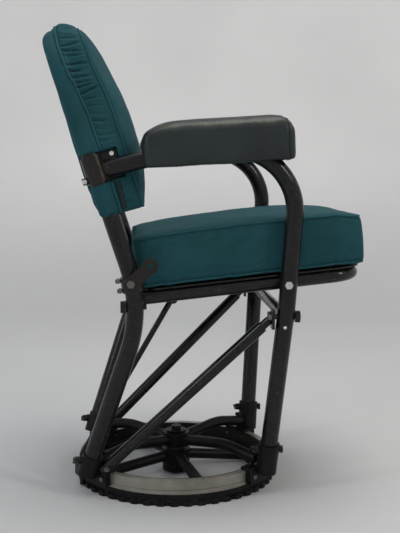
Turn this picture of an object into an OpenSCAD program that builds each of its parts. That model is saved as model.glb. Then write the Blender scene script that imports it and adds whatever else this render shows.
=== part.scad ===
// Swivel armchair: tubular frame on a notched floor ring, with loose cushions.
// Origin: centre of the ring on the floor. +X is the chair's front, +Y its left, +Z up.

/* [Frame tubes] */
// Outer radius of the main frame tubes
tube_r = 15.9; // [14:0.1:16]
// Wall of the main frame tubes
tube_wall = 2; // [1.5:0.1:3]
// Half the distance between the arm rails, centre to centre
arm_y = 206; // [204:1:212]
// Outer radius of the diagonal braces
brace_r = 11; // [8:0.5:12]

/* [Seat] */
// Rise of the seat towards the front, in degrees
seat_tilt = 6.2; // [4:0.1:7]
// Depth of the seat cushion
seat_depth = 417; // [400:1:420]
// Half the width of the seat cushion
seat_half = 187; // [175:1:188]
// Thickness of the seat cushion
seat_thick = 96; // [80:1:100]
// Outer radius of the tubes under the seat
rail_r = 12.7; // [11:0.1:13]

/* [Back] */
// Lean of the back, in degrees from upright
back_lean = 18.3; // [17:0.1:19]
// Height of the back hoop above the seat joint, along the lean
hoop_top = 338; // [320:1:345]
// Bend radius of the hoop's upper corners
hoop_bend = 75; // [60:1:90]

/* [Armrests] */
// Length of an armrest pad
pad_len = 256; // [230:1:256]
// Width of an armrest pad
pad_width = 76; // [60:1:80]
// Thickness of an armrest pad
pad_thick = 76; // [70:1:80]

/* [Swivel base] */
// Radius of the floor ring
ring_r = 200; // [200:1:204]
// Thickness of the floor ring
ring_thick = 20; // [16:0.5:20]
// Number of lock notches round the floor ring
notch_count = 48; // [24:24:48]
// Number of floor bolt holes
floor_bolts = 8; // [4:4:8]
// Radius of the pivot shaft
pivot_r = 12; // [10:0.5:12]
// Travel of the swivel lock
lock_travel = 17; // [17:0.5:18]

/* [Hidden] */
$fn = 48;

// Clearances
gap = 0.3;        // between parts that move past each other
fit = 0.05;       // running and push fits, on the radius
right = -1;
left = 1;
sides = [right, left];

// Colours
black = "#26272a";
bare_metal = "#b5b2a4";
steel = "#8a8a88";
teal = "#1f6a70";
leather = "#1d2b29";

// Floor ring and race ring
race_r = 195;
race_bore = 180;
race_z = [21.8, 48];
wear_z = [ring_thick, 21.5];
ring_bore = 166;
floor_bolt_radius = 175;
flange_thick = 9;
flange_step = 5.4;
notch_pitch_r = 203;
notch_r = 8;
spider_turn = 18;
spider_tube_r = 10.5;

// Shoes on the race ring
lip_top = 54;
shoe_half_angle = 9;
shoe_screw_angle = 6.6;
shoe_screw_r = 2.5;
shoe_screw_z = 38;
socket_bolt_r = 4;

// Centre pivot
post_top = 86;
hub_z = [56, 84];
hub_r = 27;
bush_r = 15;
hub_arm_r = 10.5;
hub_arm_path = [[25, 0, 70], [122, 0, 80], [195, 0, 66]];
arm_bolt_radius = 188;
arm_bolt_r = 3;

// Legs: foot, knee and the rail's corner and end, on the chair's left
foot_r = 220;
front_azimuth = 41;
rear_azimuth = 141.4;
foot_z = 58;
knee_z = 370;
front_rake = 0.0748;
function front_foot(s) = [166, s * foot_r * sin(front_azimuth), foot_z];
function front_knee(s) = [front_foot(s).x + front_rake * (knee_z - foot_z), s * arm_y, knee_z];
function rail_corner(s) = [front_knee(s).x + front_rake * 297, s * arm_y, knee_z + 297];
function rail_rear(s) = [-60, s * arm_y, 638.8];
function rail_end(s) = [-130, s * arm_y, 620.6];
arm_bends = [60, 110, 200];
function arm_path(s) = [front_foot(s), front_knee(s), rail_corner(s), rail_rear(s), rail_end(s)];

// Back frame: the line of the posts, and the rear legs below it
back_origin = [-121, 0, 525];
function post_point(s, height) =
    back_origin + [-sin(back_lean) * height, s * arm_y, cos(back_lean) * height];
joint_height = -64;
function rear_foot(s) = [foot_r * cos(rear_azimuth), s * foot_r * sin(rear_azimuth), foot_z];
function rear_knee(s) = post_point(s, -162);
leg_bend = 250;
function leg_path(s) = [rear_foot(s), rear_knee(s), post_point(s, joint_height - gap / 2)];
hoop_path = [
    post_point(right, joint_height + gap / 2), post_point(right, hoop_top),
    post_point(left, hoop_top), post_point(left, joint_height + gap / 2),
];
sleeve_span = [75, 123];
sleeve_r = 20;
cut_low = sleeve_span[0] - 6;

// Cross tubes and the bolts through their ends
cross_r = 11;
bolt_r = 5;
front_bolt_z = 355;
rail_bolt_x = 188.5;
front_socket_z = 91;
rear_socket_z = 74;
front_boss = 20.6;
rear_boss = 22.6;

// Seat frame, in the tilted frame of the seat
seat_origin = [-80.5, 0, 402];
pan_thick = 3;
pan_top = -0.5;
rail_z = pan_top - pan_thick - 0.2 - rail_r;
rail_y = seat_half - 15;
rail_front = seat_depth - rail_r;
corner_r = 45;

// Armrest pads
pad_tilt = 3.6;
pad_origin = [-63, 0, 622.5];

// Belt lugs
lug_len = 46;
lug_thick = 4;
lug_angle = 42;
lug_y = 229;
lug_hole_r = 5.5;
collar_at = 0.78;  // place of the collar along the leg's bend

// Swivel lock
lock_azimuth = 202.5;
lock_rod_r = 5.5;
rod_top = [-12, -110, 378];
pin_top = race_z[1] + 1 + lock_travel;

// ---- Geometry helpers ----

function unit(v) = v / norm(v);
function turn(a, b, c) = acos(unit(b - a) * unit(c - b));
function setback(a, b, c, r) = r * tan(turn(a, b, c) / 2);
function bend_start(a, b, c, r) = b - unit(b - a) * setback(a, b, c, r);
function bend_out(a, b, c) = unit(unit(b - a) * cos(turn(a, b, c)) - unit(c - b));
function bend_centre(a, b, c, r) = bend_start(a, b, c, r) - bend_out(a, b, c) * r;
function bend_point(a, b, c, r, f) = bend_centre(a, b, c, r)
    + r * (bend_out(a, b, c) * cos(f * turn(a, b, c)) + unit(b - a) * sin(f * turn(a, b, c)));
function bend_dir(a, b, c, f) =
    unit(b - a) * cos(f * turn(a, b, c)) - bend_out(a, b, c) * sin(f * turn(a, b, c));

// Places children at p with their x, y and z axes along the given unit vectors
module placed(p, x, y, z)
    multmatrix([[x.x, y.x, z.x, p.x], [x.y, y.y, z.y, p.y], [x.z, y.z, z.z, p.z], [0, 0, 0, 1]])
        children();

// Places children at p with their z axis along w and their x axis towards h
module along(p, w, h = [0, 1, 0]) {
    z = unit(w);
    y = unit(cross(z, h));
    placed(p, cross(y, z), y, z) children();
}

// A straight rod or tube from a to b
module rod(a, b, r, hole = 0) {
    along(a, b - a, abs(unit(b - a).y) > 0.9 ? [1, 0, 0] : [0, 1, 0])
        linear_extrude(norm(b - a)) ring_2d(r, hole);
}

module ring_2d(r, hole) {
    difference() {
        circle(r);
        if (hole > 0) circle(hole);
    }
}

// Direction from the tube to the bend's centre where a bend starts and ends
function inward(a, b, c) = -bend_out(a, b, c);
function inward_end(a, b, c) =
    inward(a, b, c) * cos(turn(a, b, c)) - unit(b - a) * sin(turn(a, b, c));

// Turn about the tube's own axis between a bend at b and the next one at c
function roll(a, b, c, d) =
    atan2(cross(inward_end(a, b, c), inward(b, c, d)) * unit(c - b),
        inward_end(a, b, c) * inward(b, c, d));

// A bent tube along a path of points, with one bend radius per inner point
module bent_tube(path, bends, r, hole = 0) {
    z = unit(path[1] - path[0]);
    x = inward(path[0], path[1], path[2]);
    placed(path[0], x, cross(z, x), z) tube_run(path, bends, r, hole, 0);
}

// The stretch from path[i] and all that follows, each drawn in the frame of the one before.
// Stretches meet at a hairline seam, over a short ring inside the wall that joins them.
seam = 0.01;
inset = 0.3;
joint_half = 2;
module tube_run(path, bends, r, hole, i) {
    last = len(path) - 1;
    near_cut = i == 0 ? 0 : setback(path[i - 1], path[i], path[i + 1], bends[i - 1]);
    far_cut = i == last - 1 ? 0 : setback(path[i], path[i + 1], path[i + 2], bends[i]);
    length = norm(path[i + 1] - path[i]) - near_cut - far_cut;
    translate([0, 0, seam]) linear_extrude(length - 2 * seam) ring_2d(r, hole);
    if (i < last - 1) {
        translate([0, 0, length]) joint_ring(r, hole);
        angle = round(turn(path[i], path[i + 1], path[i + 2]) * 100) / 100;
        next_roll = i == last - 2 ? 0 : roll(path[i], path[i + 1], path[i + 2], path[i + 3]);
        translate([bends[i], 0, length]) {
            rotate([90, 0, 180]) rotate_extrude(angle = angle)
                translate([bends[i], 0]) ring_2d(r, hole);
            rotate([0, angle, 0]) translate([-bends[i], 0, 0]) {
                joint_ring(r, hole);
                rotate([0, 0, round(next_roll * 100) / 100])
                    tube_run(path, bends, r, hole, i + 1);
            }
        }
    }
}

module joint_ring(r, hole)
    translate([0, 0, -joint_half]) linear_extrude(2 * joint_half)
        ring_2d(r - inset, hole > 0 ? hole + inset : 0);

// A hexagon head or nut with its face at z = 0
module hex(across, height) cylinder(r = across / sqrt(3), h = height, $fn = 6);

// A bolt with a hexagon head: the head sits behind p and the shank runs along w
module hex_bolt(p, w, length, r, across, head = 6) {
    along(p, w, abs(unit(w).y) > 0.9 ? [1, 0, 0] : [0, 1, 0]) {
        translate([0, 0, -head]) hex(across, head);
        cylinder(r = r, h = length);
    }
}

// A flat sector of a ring, centred on an azimuth
module sector(r_in, r_out, z_low, z_high, azimuth, half_angle)
    rotate([0, 0, azimuth - half_angle]) translate([0, 0, z_low])
        rotate_extrude(angle = 2 * half_angle)
            translate([r_in, 0]) square([r_out - r_in, z_high - z_low]);

// A rectangle with round corners, centred on the origin
module round_rect(width, height, r) {
    square([width - 2 * r, height], center = true);
    square([width, height - 2 * r], center = true);
    for (x = [-1, 1], y = [-1, 1])
        translate([x * (width / 2 - r), y * (height / 2 - r)]) circle(r);
}

// Holes through p along X and along Y
module x_hole(p, r) translate([p.x - 40, p.y, p.z]) rotate([0, 90, 0]) cylinder(r = r, h = 80);
module y_hole(p, r) translate([p.x, p.y - 40, p.z]) rotate([-90, 0, 0]) cylinder(r = r, h = 80);

// The point at height z on the line from foot to knee
function point_at_z(foot, knee, z) = foot + (knee - foot) * ((z - foot.z) / (knee.z - foot.z));

module in_seat() translate(seat_origin) rotate([0, -seat_tilt, 0]) children();
module in_back() translate(back_origin) rotate([0, -back_lean, 0]) children();
module in_pad(s) translate(pad_origin + [0, s * arm_y, 0]) rotate([0, -pad_tilt, 0]) children();
module at_azimuth(azimuth, radius, z = 0)
    rotate([0, 0, azimuth]) translate([radius, 0, z]) children();
module upright_sheet(thick) rotate([90, 0, 90]) linear_extrude(thick) children();

// ---- Base that stays on the floor ----

// A flat ring with a notched flange along its lower edge
module index_ring() color(black)
    difference() {
        union() {
            cylinder(r = ring_r, h = flange_thick);
            cylinder(r = ring_r - flange_step, h = ring_thick);
        }
        translate([0, 0, -1]) cylinder(r = ring_bore, h = ring_thick + 2);
        for (i = [0 : notch_count - 1])
            at_azimuth(i * 360 / notch_count, notch_pitch_r, -1)
                cylinder(r = notch_r, h = flange_thick + 1);
        for (i = [0 : floor_bolts - 1])
            at_azimuth((i + 0.5) * 360 / floor_bolts, floor_bolt_radius, -1)
                cylinder(r = 3.3, h = ring_thick + 2);
    }

module wear_ring() color(steel)
    translate([0, 0, wear_z[0]]) linear_extrude(wear_z[1] - wear_z[0])
        ring_2d(race_r - 2, race_bore + 1);

// A cross of four tubes from the post's socket down to pads inside the floor ring
module floor_spider() color(black)
    rotate([0, 0, spider_turn]) difference() {
        union() {
            for (i = [0 : 3])
                rotate([0, 0, i * 90]) rod([20, 0, 35], [ring_bore - 3, 0, 13], spider_tube_r);
            translate([0, 0, 6]) cylinder(r = 28, h = 43);
            for (i = [0 : 3])
                sector(ring_bore - 10, ring_bore - 0.2, 1, 18, i * 90, 6);
        }
        translate([0, 0, -1]) cylinder(r = 20 + fit, h = 60);
    }

module pivot_post() color(steel) {
    translate([0, 0, 6]) cylinder(r = 20, h = 44);
    translate([0, 0, 50]) difference() {
        cylinder(r = pivot_r, h = post_top - 50);
        translate([0, 0, 10]) cylinder(r = 5 + fit, h = post_top);
    }
}

module pivot_washer() color(steel)
    translate([0, 0, post_top]) linear_extrude(2.5) ring_2d(20, 5 + fit);

module pivot_cap_bolt() color(steel) hex_bolt([0, 0, post_top + 2.5], [0, 0, -1], 24, 5, 19, 8);

// ---- Swivelling base ----

module race_ring() color(bare_metal)
    difference() {
        translate([0, 0, race_z[0]]) linear_extrude(race_z[1] - race_z[0])
            ring_2d(race_r, race_bore);
        translate([0, 0, 29]) linear_extrude(2) ring_2d(race_r + 2, race_r - 1.2);
        for (azimuth = screw_azimuths) shoe_screw_hole(azimuth);
    }

shoe_azimuths = [-front_azimuth, front_azimuth, -rear_azimuth, rear_azimuth];
screw_azimuths = [for (azimuth = shoe_azimuths, side = sides) azimuth + side * shoe_screw_angle];
module shoe_screw_hole(azimuth)
    at_azimuth(azimuth, race_bore - 20, shoe_screw_z) rotate([0, 90, 0])
        cylinder(r = shoe_screw_r + fit, h = 60);

// A shoe grips the race ring, with a lip over its top, and holds the foot of one leg
module shoe(azimuth, foot, knee, bolt_z, socket_wall, socket_len, boss) color(black)
    difference() {
        way = unit(knee - foot);
        outer = race_r + 14;
        union() {
            rod(foot - way * 14, foot + way * socket_len, tube_r + socket_wall);
            translate(point_at_z(foot, knee, bolt_z)) rotate([0, -90, 0]) cylinder(r = 8, h = boss);
            sector(race_r + 0.1, outer, 24, lip_top, azimuth, shoe_half_angle);
            sector(race_bore + 2, outer, race_z[1] + 0.1, lip_top, azimuth, shoe_half_angle);
        }
        rod(foot, foot + way * 60, tube_r + fit);
        x_hole(point_at_z(foot, knee, bolt_z), socket_bolt_r + fit);
        for (side = sides) shoe_screw_hole(azimuth + side * shoe_screw_angle);
        at_azimuth(azimuth, arm_bolt_radius, 30) cylinder(r = arm_bolt_r + fit, h = 40);
    }

module front_shoe(s)
    shoe(s * front_azimuth, front_foot(s), front_knee(s), front_socket_z, 4, 46, front_boss);
module rear_shoe(s)
    shoe(s * rear_azimuth, rear_foot(s), rear_knee(s), rear_socket_z, 2.6, 28, rear_boss);
module right_front_shoe() front_shoe(right);
module left_front_shoe() front_shoe(left);
module right_rear_shoe() rear_shoe(right);
module left_rear_shoe() rear_shoe(left);

module shoe_screws() color(steel)
    for (azimuth = screw_azimuths) rotate([0, 0, azimuth])
        hex_bolt([race_r + 14, 0, shoe_screw_z], [-1, 0, 0],
            race_r + 17 - race_bore, shoe_screw_r, 8, 3.5);

// Bolts through the front sockets, with a head in front, and studs in the rear ones
module socket_bolts() color(black)
    for (s = sides) {
        front = point_at_z(front_foot(s), front_knee(s), front_socket_z);
        rear = point_at_z(rear_foot(s), rear_knee(s), rear_socket_z);
        hex_bolt(front + [front_boss, 0, 0], [-1, 0, 0], 2 * front_boss + 12, socket_bolt_r, 13);
        rod(rear + [tube_r + 1, 0, 0], rear - [rear_boss + 12, 0, 0], socket_bolt_r);
    }

// Wing nuts behind the sockets
module wing_nuts() color(black)
    for (s = sides, nut = [
        point_at_z(front_foot(s), front_knee(s), front_socket_z) - [front_boss + 0.02, 0, 0],
        point_at_z(rear_foot(s), rear_knee(s), rear_socket_z) - [rear_boss + 0.02, 0, 0],
    ])
        translate(nut) rotate([0, -90, 0]) difference() {
            union() {
                cylinder(r = 7, h = 8);
                for (y = [-1, 1]) translate([-1.5, y > 0 ? 4 : -15, 3]) cube([3, 11, 9]);
            }
            translate([0, 0, -1]) cylinder(r = socket_bolt_r + fit, h = 12);
        }

module swivel_hub() color(black)
    translate([0, 0, hub_z[0]]) difference() {
        cylinder(r = hub_r, h = hub_z[1] - hub_z[0]);
        translate([0, 0, -1]) cylinder(r = bush_r + fit, h = 40);
    }

module hub_bush() color(steel)
    translate([0, 0, hub_z[0]]) linear_extrude(hub_z[1] - hub_z[0]) ring_2d(bush_r, pivot_r + fit);

module thrust_washer() color(steel)
    translate([0, 0, 50.5]) linear_extrude(5) ring_2d(19, pivot_r + 0.1);

// A slightly arched tube that runs from the hub to the lip of a shoe
module hub_arm(azimuth) color(black)
    rotate([0, 0, azimuth]) difference() {
        bent_tube(hub_arm_path, [150], hub_arm_r, hub_arm_r - 2);
        translate([0, 0, 40]) cylinder(r = hub_r + 0.1, h = 60);
        translate([arm_bolt_radius, 0, 30]) cylinder(r = arm_bolt_r + fit, h = 80);
    }
module hub_arm_right_front() hub_arm(-front_azimuth);
module hub_arm_left_front() hub_arm(front_azimuth);
module hub_arm_right_rear() hub_arm(-rear_azimuth);
module hub_arm_left_rear() hub_arm(rear_azimuth);

module hub_arm_bolts() color(black)
    for (azimuth = shoe_azimuths) rotate([0, 0, azimuth])
        hex_bolt([arm_bolt_radius, 0, 79.6], [0, 0, -1], 30, arm_bolt_r, 10, 5);

// ---- Frame tubes ----

function front_bolt(s) = point_at_z(front_foot(s), front_knee(s), front_bolt_z);
function rear_bolt(s) =
    bend_point(rear_foot(s), rear_knee(s), post_point(s, joint_height), leg_bend, 0.52);
rail_bolt_z = seat_origin.z + (rail_bolt_x - seat_origin.x) * tan(seat_tilt)
    + rail_z / cos(seat_tilt);
function rail_bolt(s) = [rail_bolt_x + 1.5, s * arm_y, rail_bolt_z];

module arm_tube(s) color(black)
    difference() {
        bent_tube(arm_path(s), arm_bends, tube_r, tube_r - tube_wall);
        x_hole(point_at_z(front_foot(s), front_knee(s), front_socket_z), socket_bolt_r + fit);
        x_hole(front_bolt(s), bolt_r + fit);
        y_hole(rail_bolt(s), 4 + fit);
    }
module right_arm_tube() arm_tube(right);
module left_arm_tube() arm_tube(left);

module right_rear_leg() color(black)
    difference() {
        bent_tube(leg_path(right), [leg_bend], tube_r, tube_r - tube_wall);
        x_hole(point_at_z(rear_foot(right), rear_knee(right), rear_socket_z), socket_bolt_r + fit);
        x_hole(rear_bolt(right), bolt_r + fit);
    }
module left_rear_leg() mirror([0, 1, 0]) right_rear_leg();

module back_hoop() color(black)
    bent_tube(hoop_path, [hoop_bend, hoop_bend], tube_r, tube_r - tube_wall);

// Plugs that join the hoop to the rear legs, inside the tubes
module hoop_spigots() color(steel)
    for (s = sides)
        rod(post_point(s, joint_height - 14), post_point(s, joint_height + 40),
            tube_r - tube_wall - fit);

// ---- Seat joint: collars and belt lugs ----

function collar_point(s) =
    bend_point(rear_foot(s), rear_knee(s), post_point(s, joint_height), leg_bend, collar_at);
function collar_dir(s) = bend_dir(rear_foot(s), rear_knee(s), post_point(s, joint_height), collar_at);
function lug_pivot(s) = [collar_point(s).x - 3, s * lug_y, collar_point(s).z + 2];

module seat_collar(s) color(black) {
    p = collar_point(s);
    w = collar_dir(s);
    difference() {
        union() {
            rod(p - w * 14, p + w * 14, tube_r + 4.5);
            along(p, w) for (z = [-9, 9]) translate([-5, 16, z - 3]) cube([10, 13, 6]);
            translate([lug_pivot(s).x, s * (arm_y + 17), lug_pivot(s).z]) rotate([s * -90, 0, 0])
                cylinder(r = 9, h = lug_y - lug_thick / 2 - gap - arm_y - 17);
        }
        rod(p - w * 20, p + w * 20, tube_r + 0.5);
        y_hole(lug_pivot(s), 4 + fit);
        along(p, w) for (z = [-9, 9]) translate([0, 24, z]) rotate([0, 90, 0])
            cylinder(r = 2 + fit, h = 40, center = true);
    }
}
module right_seat_collar() seat_collar(right);
module left_seat_collar() seat_collar(left);

// Small bolts through the ears behind the collars
module collar_bolts() color(steel)
    for (s = sides) along(collar_point(s), collar_dir(s))
        for (z = [-9, 9]) translate([0, 24, z]) rotate([0, 90, 0]) {
            cylinder(r = 2, h = 16, center = true);
            for (x = [-8, 5]) translate([0, 0, x]) hex(7, 3);
        }

// Pivot bolts of the belt lugs, each with a head outside the lug
module lug_pivots() color(steel)
    for (s = sides) {
        p = [lug_pivot(s).x, s * (lug_y + lug_thick / 2 + gap), lug_pivot(s).z];
        hex_bolt(p, [0, -s, 0], lug_y + lug_thick / 2 + gap - arm_y - tube_r - 0.7, 4, 13, 5);
    }

module belt_lug(s) color(black)
    translate([lug_pivot(s).x, s * lug_y, lug_pivot(s).z]) rotate([90, -lug_angle, 0])
        translate([0, 0, -lug_thick / 2]) linear_extrude(lug_thick) difference() {
            union() {
                circle(12);
                translate([lug_len, 0]) circle(14);
                translate([0, -12]) square([lug_len, 24]);
            }
            circle(4 + fit);
            translate([lug_len, 0]) circle(lug_hole_r);
        }
module right_belt_lug() belt_lug(right);
module left_belt_lug() belt_lug(left);

// ---- Arm brackets on the back posts ----

bracket_holes = [[36, sleeve_span[1] - 6], [30, sleeve_span[0] + 6]];

// A sleeve round the post, with a plug for the arm rail's end, a plate and a rear ear
module left_arm_bracket() color(black) {
    way = unit(rail_end(left) - rail_rear(left));
    difference() {
        union() {
            rod(post_point(left, sleeve_span[0]), post_point(left, sleeve_span[1]), sleeve_r);
            rod(rail_end(left) - way * 30, rail_end(left) + way * 6, tube_r - tube_wall - fit);
            in_back() translate([0, arm_y - 20.25, sleeve_span[0]])
                cube([44, 2.5, sleeve_span[1] - sleeve_span[0]]);
            in_back() translate([-28, arm_y - 6, sleeve_span[0] + 3]) cube([14, 12, 12]);
        }
        rod(post_point(left, 0), post_point(left, 200), tube_r + fit);
        for (p = bracket_holes) in_back() y_hole([p.x, arm_y - 19, p.y], 2 + fit);
        in_back() y_hole([-24, arm_y, sleeve_span[0] + 9], 2.5 + fit);
    }
}
module right_arm_bracket() mirror([0, 1, 0]) left_arm_bracket();

module bracket_screws() color(steel)
    for (s = sides) in_back() {
        for (p = bracket_holes)
            translate([p.x, s * (arm_y - 17.75), p.y]) rotate([s * 90, 0, 0]) {
                translate([0, 0, -2]) cylinder(r = 4, h = 2);
                cylinder(r = 2, h = 2.5);
            }
        hex_bolt([-24, s * (arm_y + 6), sleeve_span[0] + 9], [0, -s, 0], 15, 2.5, 8, 3.5);
    }

// ---- Seat frame ----

module seat_rail(s) color(black)
    difference() {
        in_seat() bent_tube(
            [[4, s * rail_y, rail_z], [rail_front, s * rail_y, rail_z],
             [rail_front, s * (rail_y - corner_r - 5), rail_z]],
            [corner_r], rail_r, rail_r - 1.6);
        y_hole([rail_bolt(s).x, s * rail_y, rail_bolt(s).z], 4 + fit);
        y_hole([rear_bolt(s).x, s * rail_y, rear_bolt(s).z], cross_r + 0.1);
    }
module right_seat_rail() seat_rail(right);
module left_seat_rail() seat_rail(left);

module front_seat_bar() color(black)
    in_seat() rod([rail_front, corner_r + 5.1 - rail_y, rail_z],
        [rail_front, rail_y - corner_r - 5.1, rail_z], rail_r, rail_r - 1.6);

module rear_seat_bar() color(black)
    in_seat() difference() {
        rod([18, -rail_y, rail_z], [18, rail_y, rail_z], rail_r - 1, rail_r - 2.6);
        for (s = sides) rod([0, s * rail_y, rail_z], [60, s * rail_y, rail_z], rail_r + 0.1);
    }

// Bolts that hang the seat rails from the front legs, each with a spacer
module rail_bolts() color(steel)
    for (s = sides) {
        p = [rail_bolt(s).x, 0, rail_bolt(s).z];
        inner = s * (rail_y - rail_r - 0.5);
        hex_bolt(p + [0, s * (arm_y + tube_r + 0.5), 0], [0, -s, 0],
            arm_y + tube_r + 10 - rail_y + rail_r, 4, 13, 5);
        difference() {
            rod(p + [0, inner, 0], p + [0, inner - s * 6, 0], 7);
            y_hole([p.x, inner, p.z], 4 + fit);
        }
    }

module front_cross_tube() color(black)
    difference() {
        rod([front_bolt(left).x, right * arm_y, front_bolt_z],
            [front_bolt(left).x, left * arm_y, front_bolt_z], cross_r, cross_r - 2);
        for (s = sides) rod(front_foot(s), front_knee(s), tube_r + 0.2);
    }

module rear_cross_tube() color(black)
    difference() {
        rod([rear_bolt(left).x, right * arm_y, rear_bolt(left).z],
            [rear_bolt(left).x, left * arm_y, rear_bolt(left).z], cross_r, cross_r - 2);
        for (s = sides) bent_tube(leg_path(s), [leg_bend], tube_r + 0.2);
    }

// Large cross bolts at the four upper corners of the leg frame
module cross_bolts() color(black)
    for (s = sides) {
        hex_bolt(front_bolt(s) + [tube_r + 1, 0, 0], [-1, 0, 0], 2 * tube_r + 14, bolt_r, 20, 9);
        hex_bolt(rear_bolt(s) - [tube_r + 1, 0, 0], [1, 0, 0], 2 * tube_r + 6, bolt_r, 20, 9);
    }

pan_holes = [for (x = [60, 150, 240, 330], s = sides) [x, s * 100]];
module seat_pan() color(black)
    in_seat() translate([seat_depth / 2, 0, pan_top - pan_thick]) difference() {
        linear_extrude(pan_thick) difference() {
            round_rect(seat_depth, 2 * seat_half - 6, corner_r);
            for (p = pan_holes) translate(p - [seat_depth / 2, 0]) circle(22);
        }
        for (x = [-150, 150], s = sides) translate([x, s * rail_y, -1]) cylinder(r = 2.5, h = 9);
    }

module pan_screws() color(steel)
    in_seat() for (x = [-150, 150], s = sides)
        translate([seat_depth / 2 + x, s * rail_y, pan_top - pan_thick - 0.1]) cylinder(r = 2.4, h = 3);

// ---- Braces ----

function brace_top(s) = front_bolt(s) + [-tube_r - 7.5, 0, 0];
function brace_foot(s) = rear_foot(s) + [27, s * 7, -4];
function brace_bolt(s) = brace_foot(s) + unit(brace_top(s) - brace_foot(s)) * 10;

// A brace tube with a flat tongue behind the front leg and a plugged lower end
module left_brace() color(black) {
    top = brace_top(left);
    foot = brace_foot(left);
    way = unit(top - foot);
    difference() {
        union() {
            rod(foot, top - way * 26, brace_r, brace_r - 1.6);
            rod(foot, foot + way * 20, brace_r - 1.6);
            rod(top - way * 38, top - way * 26, brace_r - 1.6);
            rod(top - way * 30, top - way * 9, brace_r - 3);
            translate(top + [-2.5, -11, -22]) cube([5, 22, 36]);
        }
        translate(top - [2.8, 0, 0]) rotate([0, -90, 0]) cylinder(r = 10.3, h = 7);
        x_hole(top, bolt_r + fit);
        rod(rear_foot(left) - [0, 0, 1], rear_knee(left), tube_r + 3);
        translate([foot.x - 30, foot.y - 30, 0]) cube([60, 60, lip_top + 0.1]);
        y_hole(brace_bolt(left), 3 + fit);
    }
}
module right_brace() mirror([0, 1, 0]) left_brace();

module brace_bolts() color(steel)
    for (s = sides) {
        hex_bolt(brace_bolt(s) + [0, s * (brace_r + 1), 0], [0, -s, 0], 2 * brace_r + 4, 3, 9, 4);
        translate(brace_top(s) - [3, 0, 0]) rotate([0, -90, 0]) difference() {
            hex(17, 6);
            translate([0, 0, -1]) cylinder(r = bolt_r + fit, h = 9);
        }
    }

// ---- Swivel lock ----

lock_base = [notch_pitch_r * cos(lock_azimuth), notch_pitch_r * sin(lock_azimuth), 4];
pin_end = [lock_base.x, lock_base.y, pin_top];

module lock_guide() color(black)
    difference() {
        sector(race_r + 0.1, 214, 24, 54, lock_azimuth, 3.6);
        translate([lock_base.x, lock_base.y, 0]) cylinder(r = lock_rod_r + fit, h = 80);
    }

// A bent rod: its lower end is the lock pin, its upper end is held by the handle
module lock_rod() color(black) bent_tube([lock_base, pin_end, rod_top], [14], lock_rod_r);

module lock_handle() color(black)
    difference() {
        rod(rod_top - [0, 32, 0], rod_top + [0, 32, 0], 7.5);
        rod(pin_end, rod_top, lock_rod_r + fit);
    }

// ---- Back ----

module back_panel() color(black)
    in_back() translate([-1.5, 0, 194]) upright_sheet(3) round_rect(2 * (arm_y - 22), 244, 50);

module back_cushion() color(teal)
    in_back() {
        translate([17.2, 0, 183]) upright_sheet(44) round_rect(2 * (seat_half - 3), 338, 45);
        translate([61, 0, 183]) upright_sheet(15) round_rect(2 * (seat_half - 35), 274, 40);
    }

// Rear of the back cover: a pocket over the hoop, cut away at the arm brackets.
// Below the brackets it is stuffed, with a channel for each post.
module back_sleeve() color(teal)
    in_back() difference() {
        sleeve_box(arm_y + 20.5, hoop_top + 20, -20.5, 16.9, 95);
        intersection() {
            sleeve_box(arm_y + 16.4, hoop_top + 16.4, -16.4, 18, 91);
            translate([-40, -260, cut_low]) cube([90, 520, 400]);
        }
        for (s = sides) {
            translate([-40, s > 0 ? 184 : -260, cut_low])
                cube([90, 76, sleeve_span[1] - sleeve_span[0] + 12]);
            translate([-16.4, s > 0 ? arm_y - 16.4 : -arm_y - 16.4, 0]) cube([40, 32.8, cut_low + 1]);
        }
    }

// A block with round upper corners, standing from the cover's lower edge
module sleeve_box(half, top, x_low, x_high, r) {
    low = 14;
    translate([x_low, 0, 0]) upright_sheet(x_high - x_low) {
        translate([-half, low]) square([2 * half, top - r - low]);
        translate([r - half, low]) square([2 * (half - r), top - low]);
        for (y = sides) translate([y * (half - r), top - r]) circle(r);
    }
}

// ---- Cushions and pads ----

module seat_cushion() color(teal)
    in_seat() translate([seat_depth / 2, 0, 0]) linear_extrude(seat_thick)
        round_rect(seat_depth, 2 * seat_half, 22);

module armrest_pad(s) color(leather)
    difference() {
        in_pad(s) translate([pad_len / 2, 0, 0]) linear_extrude(pad_thick)
            round_rect(pad_len, pad_width, 20);
        bent_tube(arm_path(s), arm_bends, tube_r + 0.6);
    }
module right_armrest_pad() armrest_pad(right);
module left_armrest_pad() armrest_pad(left);

// ---- Drawing ----

index_ring();
wear_ring();
floor_spider();
pivot_post();
pivot_washer();
pivot_cap_bolt();
race_ring();
right_front_shoe();
left_front_shoe();
right_rear_shoe();
left_rear_shoe();
shoe_screws();
socket_bolts();
wing_nuts();
swivel_hub();
hub_bush();
thrust_washer();
hub_arm_right_front();
hub_arm_left_front();
hub_arm_right_rear();
hub_arm_left_rear();
hub_arm_bolts();
right_arm_tube();
left_arm_tube();
right_rear_leg();
left_rear_leg();
back_hoop();
hoop_spigots();
right_seat_collar();
left_seat_collar();
collar_bolts();
lug_pivots();
right_belt_lug();
left_belt_lug();
right_arm_bracket();
left_arm_bracket();
bracket_screws();
right_seat_rail();
left_seat_rail();
front_seat_bar();
rear_seat_bar();
rail_bolts();
front_cross_tube();
rear_cross_tube();
cross_bolts();
seat_pan();
pan_screws();
right_brace();
left_brace();
brace_bolts();
lock_guide();
lock_rod();
lock_handle();
back_panel();
seat_cushion();
back_cushion();
back_sleeve();
right_armrest_pad();
left_armrest_pad();
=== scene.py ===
"""Looks of a swivel armchair: black tubular frame, teal fabric cushions, dark leather armrests."""
import math
import random

import bmesh
import bpy
import numpy as np
from mathutils import Matrix, Vector, noise
from mathutils.bvhtree import BVHTree
from mathutils.kdtree import KDTree


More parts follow.
